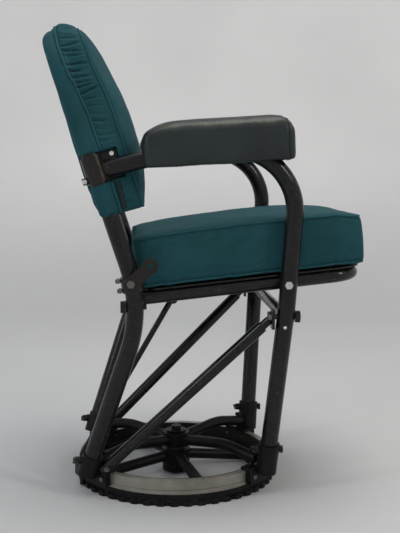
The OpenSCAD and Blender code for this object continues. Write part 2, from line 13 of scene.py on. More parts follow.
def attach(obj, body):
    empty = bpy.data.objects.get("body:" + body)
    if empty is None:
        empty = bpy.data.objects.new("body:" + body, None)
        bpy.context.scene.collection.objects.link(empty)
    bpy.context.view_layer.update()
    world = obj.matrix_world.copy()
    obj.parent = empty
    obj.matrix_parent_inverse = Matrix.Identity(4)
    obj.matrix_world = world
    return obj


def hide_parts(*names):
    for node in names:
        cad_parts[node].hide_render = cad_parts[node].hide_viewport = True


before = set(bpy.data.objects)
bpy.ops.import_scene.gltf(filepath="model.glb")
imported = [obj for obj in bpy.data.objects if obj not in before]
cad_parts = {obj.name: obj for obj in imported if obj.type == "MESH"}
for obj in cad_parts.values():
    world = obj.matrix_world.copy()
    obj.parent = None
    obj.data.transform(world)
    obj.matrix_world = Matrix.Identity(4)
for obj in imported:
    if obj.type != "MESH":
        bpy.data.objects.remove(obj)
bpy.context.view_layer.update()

MM = 0.001
SIDES = (-1, 1)
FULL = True


def tilted(x, y, z, degrees):
    """A frame at a point, given in millimetres, turned back about Y."""
    return Matrix.Translation(Vector((x, y, z)) * MM) @ Matrix.Rotation(-math.radians(degrees), 4, "Y")


# The soft pieces' own frames, as in the CAD: seat x forward z up, back x forward z up the lean
SEAT = tilted(-80.5, 0, 402, 6.2)
BACK = tilted(-121, 0, 525, 18.3)


def pad_frame(side):
    return tilted(-67.5, side * 206, 622.3, 3.6)


def smoothstep(low, high, x):
    t = np.clip((x - low) / (high - low), 0, 1)
    return t * t * (3 - 2 * t)


# ---------------------------------------------------------------- mesh building

ARC = 10  # steps round each corner of an outline


def rounded_outline(half, low, high, r_low, r_high):
    """Points round a rectangle with round corners: u from -half to half, v from low to high."""
    corners = (
        (half - r_high, high - r_high, r_high, 0),
        (r_high - half, high - r_high, r_high, 90),
        (r_low - half, low + r_low, r_low, 180),
        (half - r_low, low + r_low, r_low, 270),
    )
    points = []
    for u, v, r, start in corners:
        for k in range(ARC + 1):
            a = math.radians(start + 90 * k / ARC)
            points.append((u + r * math.cos(a), v + r * math.sin(a)))
    return points


def new_object(name, mesh, matrix=None):
    obj = bpy.data.objects.new(name, mesh)
    bpy.context.scene.collection.objects.link(obj)
    if matrix is not None:
        obj.matrix_world = matrix
    return obj


def mesh_from(name, vertices, faces, smooth=True):
    mesh = bpy.data.meshes.new(name)
    mesh.from_pydata([tuple(v) for v in vertices], [], faces)
    bm = bmesh.new()
    bm.from_mesh(mesh)
    bmesh.ops.recalc_face_normals(bm, faces=bm.faces)
    bm.to_mesh(mesh)
    bm.free()
    for p in mesh.polygons:
        p.use_smooth = smooth
    return mesh


def closed_body(name, rings, matrix):
    """A closed form through rings of equal length, in millimetres, with its first and last filled."""
    n = len(rings[0])
    vertices = [Vector(p) * MM for ring in rings for p in ring]
    faces = [tuple(range(n))[::-1], tuple(range((len(rings) - 1) * n, len(rings) * n))]
    for i in range(len(rings) - 1):
        for k in range(n):
            a, b = i * n + k, i * n + (k + 1) % n
            faces.append((a, b, b + n, a + n))
    return new_object(name, mesh_from(name, vertices, faces), matrix)


def resampled(points, step, closed=True):
    """The same path with evenly spaced points."""
    p = np.array([list(q) for q in points], float)
    if closed:
        p = np.vstack([p, p[:1]])
    along = np.concatenate([[0], np.cumsum(np.linalg.norm(np.diff(p, axis=0), axis=1))])
    count = max(8, int(round(along[-1] / step)))
    at = np.linspace(0, along[-1], count, endpoint=not closed)
    return np.stack([np.interp(at, along, p[:, k]) for k in range(3)], 1)


def sweep(name, path, radius, matrix, sides=8, closed=True, flat=1.0, normals=None):
    """A tube along a path in metres. With normals, flat squeezes it along them."""
    path = np.asarray(path, float)
    n = len(path)
    ahead = np.roll(path, -1, 0) - np.roll(path, 1, 0)
    if not closed:
        ahead[0], ahead[-1] = path[1] - path[0], path[-1] - path[-2]
    ahead /= np.linalg.norm(ahead, axis=1)[:, None]
    up = np.array([0.0, 0.0, 1.0]) if abs(ahead[0][2]) < 0.9 else np.array([0.0, 1.0, 0.0])
    vertices, faces = [], []
    for i in range(n):
        if normals is not None:
            up = normals[i]
        up = up - ahead[i] * np.dot(up, ahead[i])
        up /= np.linalg.norm(up)
        side = np.cross(ahead[i], up)
        for k in range(sides):
            a = 2 * math.pi * k / sides
            vertices.append(path[i] + radius * (flat * math.cos(a) * up + math.sin(a) * side))
    for i in range(n if closed else n - 1):
        for k in range(sides):
            a, b = i * sides + k, i * sides + (k + 1) % sides
            c, d = ((i + 1) % n) * sides + (k + 1) % sides, ((i + 1) % n) * sides + k
            faces.append((a, b, c, d))
    if not closed:
        faces.append(tuple(range(sides))[::-1])
        faces.append(tuple(range((n - 1) * sides, n * sides)))
    return new_object(name, mesh_from(name, vertices, faces), matrix)


def coordinates(obj):
    co = np.empty(len(obj.data.vertices) * 3)
    obj.data.vertices.foreach_get("co", co)
    return co.reshape(-1, 3)


def set_coordinates(obj, co):
    obj.data.vertices.foreach_set("co", co.ravel())
    obj.data.update()


def vertex_normals(obj):
    n = np.empty(len(obj.data.vertices) * 3)
    obj.data.vertices.foreach_get("normal", n)
    return n.reshape(-1, 3)


def apply_modifier(obj, kind, **values):
    modifier = obj.modifiers.new("step", kind)
    for key, value in values.items():
        setattr(modifier, key, value)
    depsgraph = bpy.context.evaluated_depsgraph_get()
    mesh = bpy.data.meshes.new_from_object(obj.evaluated_get(depsgraph))
    old = obj.data
    obj.modifiers.remove(modifier)
    obj.data = mesh
    bpy.data.meshes.remove(old)


def nearest_distance(co, path):
    """Distance from each point to the nearest point of a path, and that point's number."""
    tree = KDTree(len(path))
    for i, p in enumerate(path):
        tree.insert(p, i)
    tree.balance()
    found = [tree.find(p) for p in co]
    return np.array([f[2] for f in found]), np.array([f[1] for f in found])


# ---------------------------------------------------------------- padded pieces

FRAMES = 20


def inflate(obj, seams, voxel, pressure, cap, hold=4.0, bending=0.5):
    """Remeshes a body, inflates it as cloth held at its seams, and limits how far it moves."""
    apply_modifier(obj, "REMESH", mode="VOXEL", voxel_size=voxel * MM, use_smooth_shade=True)
    if not FULL:
        return
    rest = coordinates(obj)
    distance, _ = nearest_distance(rest, np.vstack(seams))
    group = obj.vertex_groups.new(name="held")
    group.add([int(i) for i in np.nonzero(distance < hold * MM)[0]], 1.0, "REPLACE")
    cloth = obj.modifiers.new("cloth", "CLOTH")
    settings = cloth.settings
    settings.quality = 6
    settings.mass = 0.25
    settings.tension_stiffness = settings.compression_stiffness = 12
    settings.shear_stiffness = 6
    settings.bending_stiffness = bending
    settings.use_pressure = True
    settings.uniform_pressure_force = pressure
    settings.vertex_group_mass = "held"
    settings.effector_weights.gravity = 0
    cloth.collision_settings.use_collision = False
    cloth.point_cache.frame_start = 1
    cloth.point_cache.frame_end = FRAMES
    scene = bpy.context.scene
    for number in range(1, FRAMES + 1):
        scene.frame_set(number)
    evaluated = obj.evaluated_get(bpy.context.evaluated_depsgraph_get())
    moved = np.empty(len(rest) * 3)
    evaluated.data.vertices.foreach_get("co", moved)
    step = moved.reshape(-1, 3) - rest
    length = np.linalg.norm(step, axis=1)
    limit = cap * MM
    scale = np.where(length > 1e-9, limit * np.tanh(length / limit) / np.maximum(length, 1e-9), 0)
    obj.modifiers.remove(cloth)
    obj.vertex_groups.clear()
    scene.frame_set(1)
    set_coordinates(obj, rest + step * scale[:, None])


def refine(obj):
    apply_modifier(obj, "SUBSURF", levels=1, render_levels=1)
    for p in obj.data.polygons:
        p.use_smooth = True


def groove(obj, path, depth, width):
    """Presses the surface in along a seam."""
    co = coordinates(obj)
    distance, _ = nearest_distance(co, path)
    push = depth * MM * np.exp(-((distance / (width * MM)) ** 2))
    set_coordinates(obj, co - vertex_normals(obj) * push[:, None])


def fold(x, ridge, offset):
    """Section across a fold: a valley at 0, and a lower ridge beside it."""
    return np.exp(-x**2) - ridge * np.exp(-((x - offset) ** 2))


def uneven(obj, size, amount, seed):
    """Soft random unevenness, size across and amount high, in millimetres."""
    co = coordinates(obj)
    shift = Vector((seed * 7.3, seed * 3.1, seed * 5.7))
    value = np.array([noise.noise(Vector(p) / (size * MM) + shift) for p in co])
    set_coordinates(obj, co + vertex_normals(obj) * (value * amount * MM)[:, None])


def on_surface(obj, path, lift=0.0):
    """A path moved onto a piece's surface and lifted off it, with the surface's normals."""
    faces = [tuple(p.vertices) for p in obj.data.polygons]
    tree = BVHTree.FromPolygons([v.co for v in obj.data.vertices], faces)
    found = [tree.find_nearest(Vector(p)) for p in path]
    normals = np.array([list(f[1]) for f in found])
    points = np.array([list(f[0]) for f in found]) + normals * lift * MM
    return points, normals


def settle(points, turns=2, closed=True):
    for _ in range(turns):
        mean = (np.roll(points, 1, 0) + np.roll(points, -1, 0)) / 2
        if not closed:
            mean[0], mean[-1] = points[0], points[-1]
        points = points * 0.5 + mean * 0.5
    return points


def piping(name, obj, path, radius, material, lift=0.6, step=3.0, closed=True):
    """A welt that follows a seam on a piece."""
    points, normals = on_surface(obj, resampled(path, step * MM, closed), lift)
    points = settle(points, 3, closed)
    welt = sweep(name, points, radius * MM, obj.matrix_world, 8, closed)
    return finish_piece(welt, material)


def stitches(name, obj, path, pitch, length, radius, material, lift=0.2, closed=True):
    """Sewing thread along a seam: short stitches that dip into the cloth at each end."""
    points, normals = on_surface(obj, resampled(path, pitch * MM, closed), lift)
    vertices, faces = [], []
    sides = 5
    for p, q, n in zip(points, np.roll(points, -1, 0), normals):
        if np.linalg.norm(q - p) > 3 * pitch * MM:
            continue
        way = (q - p) / max(np.linalg.norm(q - p), 1e-9)
        across = np.cross(way, n)
        first = len(vertices)
        for f, r, up in ((-0.5, 0.5, -0.7), (-0.25, 1, 0.2), (0.25, 1, 0.2), (0.5, 0.5, -0.7)):
            middle = p + way * f * length * MM + n * up * radius * MM
            for k in range(sides):
                a = 2 * math.pi * k / sides
                vertices.append(middle + r * radius * MM * (math.cos(a) * n + math.sin(a) * across))
        for i in range(3):
            for k in range(sides):
                a, b = first + i * sides + k, first + i * sides + (k + 1) % sides
                faces.append((a, b, b + sides, a + sides))
        faces.append(tuple(first + k for k in range(sides))[::-1])
        faces.append(tuple(first + 3 * sides + k for k in range(sides)))
    sewn = new_object(name, mesh_from(name, vertices, faces), obj.matrix_world)
    return finish_piece(sewn, material)


def finish_piece(obj, material, body="chair"):
    obj.data.materials.clear()
    obj.data.materials.append(material)
    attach(obj, body)
    return obj


# ---------------------------------------------------------------- materials


class Look:
    """A node material, with short calls for the nodes that the looks share."""

    def __init__(self, name, color, roughness, **fixed):
        self.material = bpy.data.materials.new(name)
        self.material.use_nodes = True
        self.tree = self.material.node_tree
        self.shader = self.tree.nodes["Principled BSDF"]
        values = {"Base Color": (*color, 1), "Roughness": roughness}
        values.update({key.replace("_", " "): value for key, value in fixed.items()})
        for key, value in values.items():
            self.shader.inputs[key].default_value = value
        self.place = self.add("ShaderNodeTexCoord").outputs["Object"]

    def add(self, kind, inputs=(), **props):
        node = self.tree.nodes.new(kind)
        for key, value in props.items():
            setattr(node, key, value)
        for key, value in dict(inputs).items():
            if isinstance(value, bpy.types.NodeSocket):
                self.tree.links.new(value, node.inputs[key])
            else:
                node.inputs[key].default_value = value
        return node

    def stretched(self, x, y, z):
        return self.add("ShaderNodeMapping", {"Vector": self.place, "Scale": (x, y, z)}).outputs[0]

    def noise(self, scale, detail=3.0, roughness=0.5, place=None):
        inputs = {"Vector": place or self.place, "Scale": scale, "Detail": detail, "Roughness": roughness}
        return self.add("ShaderNodeTexNoise", inputs).outputs["Fac"]

    def cells(self, scale, feature="F1", place=None):
        inputs = {"Vector": place or self.place, "Scale": scale}
        return self.add("ShaderNodeTexVoronoi", inputs, feature=feature).outputs["Distance"]

    def threads(self, scale, direction):
        inputs = {"Vector": self.place, "Scale": scale, "Distortion": 0.6, "Detail": 1.0, "Detail Scale": 2.0}
        node = self.add("ShaderNodeTexWave", inputs, wave_type="BANDS", bands_direction=direction)
        return node.outputs["Fac"]

    def attribute(self, name):
        return self.add("ShaderNodeAttribute", attribute_name=name).outputs["Fac"]

    def math(self, operation, a, b=0.0, clamp=False):
        return self.add("ShaderNodeMath", {0: a, 1: b}, operation=operation, use_clamp=clamp).outputs[0]

    def between(self, value, low, high, to_low=0.0, to_high=1.0):
        inputs = {"Value": value, "From Min": low, "From Max": high, "To Min": to_low, "To Max": to_high}
        return self.add("ShaderNodeMapRange", inputs, interpolation_type="SMOOTHSTEP").outputs[0]

    def mixed(self, factor, a, b):
        node = self.add("ShaderNodeMix", data_type="RGBA")
        for index, value in ((0, factor), (6, a), (7, b)):
            if isinstance(value, bpy.types.NodeSocket):
                self.tree.links.new(value, node.inputs[index])
            else:
                node.inputs[index].default_value = (*value, 1) if index else value
        return node.outputs[2]

    def bump(self, height, strength, distance, normal=None):
        inputs = {"Height": height, "Strength": strength, "Distance": distance}
        if normal is not None:
            inputs["Normal"] = normal
        return self.add("ShaderNodeBump", inputs).outputs[0]

    def rounded_edges(self, radius):
        return self.add("ShaderNodeBevel", {"Radius": radius}, samples=4).outputs[0]

    def worn_edges(self, radius):
        """0 on flat surfaces, rising to 1 on sharp edges."""
        geometry = self.add("ShaderNodeNewGeometry").outputs["Normal"]
        same = self.add("ShaderNodeVectorMath", {0: self.rounded_edges(radius), 1: geometry},
                        operation="DOT_PRODUCT").outputs["Value"]
        return self.between(same, 0.995, 0.8)

    def set(self, key, value):
        self.tree.links.new(value, self.shader.inputs[key])


def paint_look(name, color, wear, brown=0.0, roughness=0.17, gloss=0.3):
    """Old semi-gloss paint: dust, fine scratches, and chips that show dull metal, most on edges."""
    look = Look(name, color, roughness, Specular_IOR_Level=gloss)
    patches = look.noise(9, 4)
    dusty = look.between(look.noise(38, 5, 0.65), 0.42, 0.75)
    shade = look.mixed(look.between(patches, 0.35, 0.7), color, tuple(c * 1.3 + 0.001 for c in color))
    shade = look.mixed(look.math("MULTIPLY", dusty, 0.07), shade, (0.05, 0.049, 0.045))
    rust = look.between(look.noise(26, 6, 0.7), 0.62 - 0.2 * brown, 0.72)
    shade = look.mixed(look.math("MULTIPLY", rust, 0.18 + 0.5 * brown), shade, (0.04, 0.022, 0.015))
    grain = look.noise(240, 5, 0.7)
    broken = look.between(look.noise(120, 4, 0.6), 0.45, 0.7, 0, 0.6)
    edge = look.math("MULTIPLY", look.worn_edges(0.0012), broken)
    chips = look.between(grain, 0.74 - 0.07 * wear, 0.77 - 0.07 * wear)
    chips = look.math("MULTIPLY", chips, look.between(look.noise(14, 3), 0.53 - 0.08 * wear, 0.66))
    scratches = look.between(look.noise(60, 2, 0.4, look.stretched(1, 1, 14)), 0.74, 0.78)
    bare = look.math("MAXIMUM", edge, look.math("MAXIMUM", chips, look.math("MULTIPLY", scratches, 0.35)))
    bare = look.math("MULTIPLY", bare, min(1.0, 0.55 + 0.45 * wear), clamp=True)
    look.set("Base Color", look.mixed(bare, shade, (0.3, 0.28, 0.25)))
    sheen = look.between(look.noise(55, 5, 0.6), 0.25, 0.8, roughness - 0.05, roughness + 0.13)
    look.set("Roughness", look.math("ADD", sheen, look.math("MULTIPLY", bare, 0.15)))
    look.set("Metallic", look.math("MULTIPLY", bare, 0.8))
    waves = look.bump(look.noise(120, 4, 0.6), 0.08, 0.001, look.rounded_edges(0.0006))
    look.set("Normal", look.bump(bare, -0.25, 0.0004, waves))
    return look.material


def race_look(name):
    """Bare cast aluminium, turned, stained and scratched round its rim."""
    color = (0.3, 0.29, 0.25)
    look = Look(name, color, 0.42, Metallic=0.55)
    turned = look.noise(26, 4, 0.6, look.stretched(1, 1, 30))
    stains = look.between(look.noise(16, 6, 0.65), 0.4, 0.7)
    shade = look.mixed(look.between(turned, 0.35, 0.7), color, (0.25, 0.24, 0.205))
    shade = look.mixed(look.math("MULTIPLY", stains, 0.5), shade, (0.13, 0.115, 0.08))
    pits = look.between(look.noise(150, 4, 0.6), 0.66, 0.72)
    shade = look.mixed(look.math("MULTIPLY", pits, 0.7), shade, (0.05, 0.045, 0.035))
    flat = look.add("ShaderNodeVectorMath", {0: look.place, 1: (1, 1, 0)}, operation="MULTIPLY").outputs[0]
    radius = look.add("ShaderNodeVectorMath", {0: flat}, operation="LENGTH").outputs["Value"]
    # Painted shade: the ring's inner bore, in the shade under the seat, is made near black.
    inside = look.between(radius, 0.1835, 0.1815)
    shade = look.mixed(inside, shade, (0.012, 0.0115, 0.01))
    look.set("Base Color", shade)
    look.set("Roughness", look.between(stains, 0, 1, 0.36, 0.62))
    lines = look.bump(turned, 0.15, 0.0005, look.rounded_edges(0.0006))
    look.set("Normal", look.bump(pits, -0.3, 0.0004, lines))
    return look.material


def steel_look(name, color, roughness=0.3):
    """Plated steel of small fasteners, dulled and stained."""
    look = Look(name, color, roughness, Metallic=1.0)
    dull = look.between(look.noise(70, 5, 0.65), 0.4, 0.7)
    dark = tuple(c * 0.35 for c in color)
    look.set("Base Color", look.mixed(look.math("MULTIPLY", dull, 0.7), color, dark))
    look.set("Roughness", look.between(dull, 0, 1, roughness, roughness + 0.3))
    look.set("Normal", look.bump(look.noise(300, 3), 0.12, 0.0004, look.rounded_edges(0.0004)))
    return look.material


def fabric_look(name, color, faded, thread=1.0):
    """Plain woven cotton: crossing threads, sun-faded and grubby patches, a soft fuzz; painted light on its
    tops and painted shade along its seams and in its folds.
    """
    look = Look(name, color, 0.85, Sheen_Weight=0.05, Sheen_Roughness=0.5, Specular_IOR_Level=0.12)
    look.shader.inputs["Sheen Tint"].default_value = (0.5, 0.85, 0.9, 1)
    broad = look.noise(5.5, 4, 0.55)
    fine = look.noise(45, 5, 0.6)
    shade = look.mixed(look.between(broad, 0.36, 0.66), color, faded)
    green = (color[0] * 1.25, color[1] * 1.06, color[2] * 0.85)
    shade = look.mixed(look.math("MULTIPLY", look.between(look.noise(8, 3), 0.48, 0.7), 0.55), shade, green)
    shade = look.mixed(look.between(fine, 0.3, 0.9, 0.0, 0.35), shade, tuple(c * 0.62 for c in color))
    # Painted light: cloth that faces up is made lighter, in the faded tone, as if lit from above.
    top = look.attribute("top_painted_light")
    shade = look.mixed(look.math("MULTIPLY", top, 0.5), shade, tuple(c * 0.9 + 0.003 for c in faded))
    # Painted shade: the cloth is darkened along its seams and in the bottoms of its folds.
    painted_crease_shade = look.math("MULTIPLY", look.attribute("crease"), 0.8)
    shade = look.mixed(painted_crease_shade, shade, tuple(c * 0.3 for c in color))
    scale = 260 / thread
    weave = look.math("ADD", look.threads(scale, "X"),
                      look.math("ADD", look.threads(scale, "Y"), look.threads(scale, "Z")))
    slubs = look.noise(420, 2, 0.5)
    cloth = look.math("ADD", look.math("MULTIPLY", weave, 0.33), look.math("MULTIPLY", slubs, 0.6))
    shade = look.mixed(look.between(cloth, 0.2, 1.1, 0.32, 0.0), shade, tuple(c * 0.45 for c in color))
    look.set("Base Color", shade)
    look.set("Roughness", look.between(fine, 0.2, 0.8, 0.8, 0.95))
    soft = look.bump(look.noise(28, 4, 0.55), 0.25, 0.004)
    look.set("Normal", look.bump(cloth, 0.35, 0.0006, soft))
    return look.material


def leather_look(name, color):
    """Dark leather: pebbled grain and fine creases, lighter and rougher where the arms lie, partly rubbed
    wear and partly a painted highlight along the pads' upper edges.
    """
    look = Look(name, color, 0.36, Specular_IOR_Level=0.3)
    pebbles = look.cells(520, "SMOOTH_F1")
    creases = look.cells(90, "DISTANCE_TO_EDGE")
    lines = look.between(creases, 0.0, 0.05, 1.0, 0.0)
    broad = look.noise(10, 4, 0.6)
    shade = look.mixed(look.between(broad, 0.35, 0.7), color, tuple(c * 1.45 + 0.002 for c in color))
    broken = look.between(look.noise(30, 6, 0.7), 0.35, 0.62)
    # Partly rubbed wear, partly a painted highlight: lighter on the pads' upper edges and front ends.
    rubbed_and_highlight = look.math("MULTIPLY", look.attribute("rubbed_and_highlight"), broken)
    shade = look.mixed(look.math("MULTIPLY", rubbed_and_highlight, 0.7), shade, (0.11, 0.115, 0.075))
    scuffs = look.between(look.noise(95, 4, 0.65), 0.66, 0.74)
    shade = look.mixed(look.math("MULTIPLY", scuffs, 0.35), shade, (0.09, 0.095, 0.075))
    shade = look.mixed(look.math("MULTIPLY", lines, 0.35), shade, tuple(c * 0.4 for c in color))
    look.set("Base Color", shade)
    look.set("Roughness", look.math("ADD", look.between(broad, 0.2, 0.8, 0.3, 0.44),
                                    look.math("MULTIPLY", rubbed_and_highlight, 0.12)))
    grain = look.bump(pebbles, 0.22, 0.0005)
    look.set("Normal", look.bump(lines, -0.2, 0.0005, grain))
    return look.material


def floor_look(name):
    color = (0.6, 0.6, 0.6)
    look = Look(name, color, 0.9, Specular_IOR_Level=0.2)
    # Painted light: the rising wall is made lighter than the floor, standing in for more light on it.
    height = look.add("ShaderNodeSeparateXYZ", {0: look.place}).outputs[2]
    shade = look.mixed(look.between(height, 0.0, 0.7), color, (0.88, 0.87, 0.86))
    uneven_tone = look.between(look.noise(0.9, 3), 0.3, 0.7, 0, 0.25)
    look.set("Base Color", look.mixed(uneven_tone, shade, (0.55, 0.55, 0.55)))
    look.set("Normal", look.bump(look.noise(60, 4, 0.6), 0.08, 0.002))
    return look.material


BLACK = (0.0062, 0.0062, 0.0072)
TEAL = (0.0115, 0.062, 0.078)
TEAL_FADED = (0.018, 0.08, 0.096)

paint = paint_look("black_paint", BLACK, 0.35)
paint_worn = paint_look("black_paint_worn", BLACK, 0.7)
paint_rail = paint_look("black_paint_scratched", (0.0085, 0.008, 0.0075), 1.35)
paint_brown = paint_look("black_paint_rubbed", (0.0105, 0.0085, 0.0075), 0.6, brown=0.6)
paint_matt = paint_look("black_paint_base", (0.0045, 0.0045, 0.005), 0.3, roughness=0.4, gloss=0.16)
race = race_look("bare_race_ring")
steel = steel_look("dull_steel", (0.17, 0.165, 0.16), 0.36)
bright = steel_look("bright_steel", (0.75, 0.75, 0.74), 0.22)
brass = steel_look("old_brass", (0.075, 0.06, 0.04), 0.55)
teal = fabric_look("teal_fabric", TEAL, TEAL_FADED)
teal_trim = fabric_look("teal_piping", tuple(c * 1.25 for c in TEAL), tuple(c * 1.3 for c in TEAL_FADED), 0.8)
teal_dark = fabric_look("teal_tape", tuple(c * 0.5 for c in TEAL), tuple(c * 0.6 for c in TEAL), 0.8)
thread_dark = fabric_look("dark_thread", (0.012, 0.03, 0.034), (0.015, 0.035, 0.04), 0.4)
leather = leather_look("dark_leather", (0.0125, 0.0175, 0.0185))
leather_trim = leather_look("dark_leather_welt", (0.011, 0.0145, 0.015))

# ---------------------------------------------------------------- frame materials

RAILS = ("right_seat_rail", "left_seat_rail", "front_seat_bar", "rear_seat_bar")
WORN = ("right_arm_tube", "left_arm_tube", "front_cross_tube", "rear_cross_tube", "right_rear_leg",
        "left_rear_leg")
BROWN = ("right_arm_bracket", "left_arm_bracket", "right_belt_lug", "left_belt_lug",
         "right_seat_collar", "left_seat_collar")
MATT = ("index_ring", "floor_spider", "pivot_post", "swivel_hub", "hub_arm_right_front", "hub_arm_left_front",
        "hub_arm_right_rear", "hub_arm_left_rear", "right_front_shoe", "left_front_shoe",
        "right_rear_shoe", "left_rear_shoe", "lock_guide", "hub_arm_bolts", "pivot_cap_bolt",
        "pivot_washer")
STEEL = ("wear_ring", "hub_bush", "thrust_washer", "hoop_spigots", "collar_bolts",
         "pan_screws", "brace_bolts", "lug_pivots", "shoe_screws")
BRIGHT = ("bracket_screws", "rail_bolts")
SOFT = ("seat_cushion", "back_cushion", "back_sleeve", "right_armrest_pad", "left_armrest_pad")

for node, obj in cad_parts.items():
    if node in SOFT:
        continue
    chosen = paint
    for names, material in ((WORN, paint_worn), (RAILS, paint_rail), (BROWN, paint_brown),
                            (MATT, paint_matt), (STEEL, steel), (BRIGHT, bright), (("race_ring",), race)):
        if node in names:
            chosen = material
    obj.data.materials.clear()
    obj.data.materials.append(chosen)


def store(obj, name, values):
    attribute = obj.data.attributes.get(name) or obj.data.attributes.new(name, "FLOAT", "POINT")
    attribute.data.foreach_set("value", np.asarray(values, np.float32))


def fabric_marks(obj, seams, valleys=0.0):
    """Stores how far each point faces up, for painted light on the tops, and how near it is to a seam or the
    bottom of a fold, for painted shade there.
    """
    up = obj.matrix_world.to_3x3().transposed() @ Vector((0, 0, 1))
    facing = vertex_normals(obj) @ np.array(up)
    store(obj, "top_painted_light", smoothstep(0.2, 0.9, facing))
    distance, _ = nearest_distance(coordinates(obj), np.vstack(seams))
    store(obj, "crease", np.maximum(np.exp(-((distance / 0.004) ** 2)), 0.8 * valleys))


# ---------------------------------------------------------------- seat cushion

SEAT_DEPTH = 425
SEAT_HALF = 187
SEAT_SEAM = 90
# How far the stuffing lifts the top and its seam, from rear to front
SEAT_RISE = ((0, 2), (45, 7), (110, 10.5), (300, 11), (385, 6.5), (425, 0))


def resampled_outline(outline, count=200):
    """An outline with evenly spaced points, so that its straight sides can bend."""
    p = np.array(outline + outline[:1], float)
    along = np.concatenate([[0], np.cumsum(np.linalg.norm(np.diff(p, axis=0), axis=1))])
    at = np.linspace(0, along[-1], count, endpoint=False)
    across, up = np.interp(at, along, p[:, 0]), np.interp(at, along, p[:, 1])
    return [(float(u), float(v)) for u, v in zip(across, up)]


def seat_ring(inset, z):
    r = max(22 - 0.6 * inset, 9)
    outline = rounded_outline(SEAT_HALF - inset, inset, SEAT_DEPTH - inset, r, r)
    share = min(1, z / SEAT_SEAM)
    heights = [(u, v, float(np.interp(v, *zip(*SEAT_RISE)))) for u, v in resampled_outline(outline)]
    return [(v, u, z + share * rise) for u, v, rise in heights]


def make_seat():
    profile = ((150, 1.5), (60, 1), (10, 1), (3, 3), (0.5, 9), (0, 20), (-0.5, 46), (0, 74), (0.5, 84),
               (2, SEAT_SEAM), (8, 91), (22, 91.6), (50, 92), (90, 92), (140, 92))
    obj = closed_body("seat_cushion_cover", [seat_ring(i, z) for i, z in profile], SEAT)
    top_seam = resampled([Vector(p) * MM for p in seat_ring(1.5, SEAT_SEAM)], 0.004)
    low_seam = resampled([Vector(p) * MM for p in seat_ring(2, 4.5)], 0.004)
    inflate(obj, [top_seam, low_seam], 6, 3.5, 6.5, hold=5.5)
    refine(obj)
    uneven(obj, 90, 1.6, 1)
    uneven(obj, 30, 0.7, 2)
    seat_pulls(obj)
    co = coordinates(obj)
    co[:, 2] = np.maximum(co[:, 2], 0.0004)
    set_coordinates(obj, co)
    top_line, _ = on_surface(obj, top_seam)
    low_line, _ = on_surface(obj, low_seam)
    groove(obj, top_line, 2.2, 4.0)
    groove(obj, low_line, 1.4, 4.0)
    fabric_marks(obj, [top_line, low_line])
    finish_piece(obj, teal)
    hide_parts("seat_cushion")
    piping("seat_top_piping", obj, top_line, 2.3, teal_trim, 0.9)
    piping("seat_low_piping", obj, low_line, 2.2, teal_trim, 0.6)
    for name, line, z in (("seat_top_stitches", seat_ring(0.2, SEAT_SEAM - 6), 0.3),
                          ("seat_low_stitches", seat_ring(0.2, 11), 0.3)):
        stitches(name, obj, [Vector(p) * MM for p in line], 4.2, 2.8, 0.35, thread_dark, z)
    return obj


def seat_pulls(obj):
    """Short upright pulls low on the cushion's sides, and soft folds low on its front."""
    rng = random.Random(11)
    co = coordinates(obj) / MM
    push = np.zeros(len(co))
    side = np.abs(co[:, 1]) > SEAT_HALF - 12
    front = co[:, 0] > SEAT_DEPTH - 12
    for _ in range(15):
        x = rng.choice((rng.uniform(20, 400), rng.uniform(310, 405)))
        y = rng.choice(SIDES)
        height = rng.uniform(14, 34)
        slope = rng.uniform(-0.5, 0.5)
        width = rng.uniform(4, 8)
        line = (co[:, 0] - x - slope * co[:, 2]) / width
        fade = smoothstep(height, 4, co[:, 2])
        push -= side * (co[:, 1] * y > 0) * fade * rng.uniform(0.8, 1.9) * fold(line, 0.6, 1.8)
    for _ in range(9):
        y = rng.uniform(-170, 170)
        width = rng.uniform(5, 9)
        line = (co[:, 1] - y - rng.uniform(-0.4, 0.4) * co[:, 2]) / width
        fade = smoothstep(rng.uniform(20, 45), 5, co[:, 2])
        push -= front * fade * rng.uniform(0.8, 1.8) * fold(line, 0.6, 1.8)
    set_coordinates(obj, (co + vertex_normals(obj) * push[:, None]) * MM)


# ---------------------------------------------------------------- back cover

BACK_LOW = 12  # lower edge of the cover, up the lean
NOTCH = (72.5, 125.5)  # where the cover is cut away for the arm brackets, up the lean
NOTCH_HALF = 184
HOOP_CLEAR = 18.5  # from the hoop's centre line to the cloth over it
# Rings of the cover up to its front seam: forward place, half width, top, lowest edge, corner radius
COVER = (
    (-12, 70, 230, 140, 30), (-13, 140, 300, 70, 50), (-16, 196, 335, 28, 72),
    (-19.5, 212, 339, 21, 84), (-17, 219, 344, 18, 90), (-10, 223.5, 350, 16, 94),
    (-1, 224, 355, 15, 94), (8, 222.5, 359, 14, 92), (15, 219, 361, 13, 90),
    (20, 215, 361.5, 12, 88), (26, 210, 364, 12, 84), (36, 205, 364.5, 11, 80),
    (48, 201, 359, 10, 76), (56, 198, 354, 8, 73), (62, 194, 347, 7, 70),
)
REAR_SEAM = COVER[9]
FRONT_SEAM = COVER[-1]
BAND_REAR, BAND_FRONT = REAR_SEAM[0], FRONT_SEAM[0]  # the side band lies between the seams
# How far the front panel stands out over its seam, at heights up the lean
CROWN = ((5, 0), (32, 7), (61, 18), (112, 23), (163, 25), (211, 25), (262, 20), (304, 19),
         (335, 25), (350, 27))
CROWN_INSETS = (5, 12, 24, 42, 64, 90, 120, 150)
# How far forward the rear face and both seams of the side band move, at heights up the lean
REAR_FACE_SHIFT = ((130, 0), (190, 3), (244, 5), (296, 6.5))
REAR_SEAM_SHIFT = ((196, 0), (231, -6), (246, -10), (264, -14), (284, -14), (318, -13), (345, -10))
FRONT_SEAM_SHIFT = ((190, 0), (221, -2), (264, -8), (297, -8), (345, -13))


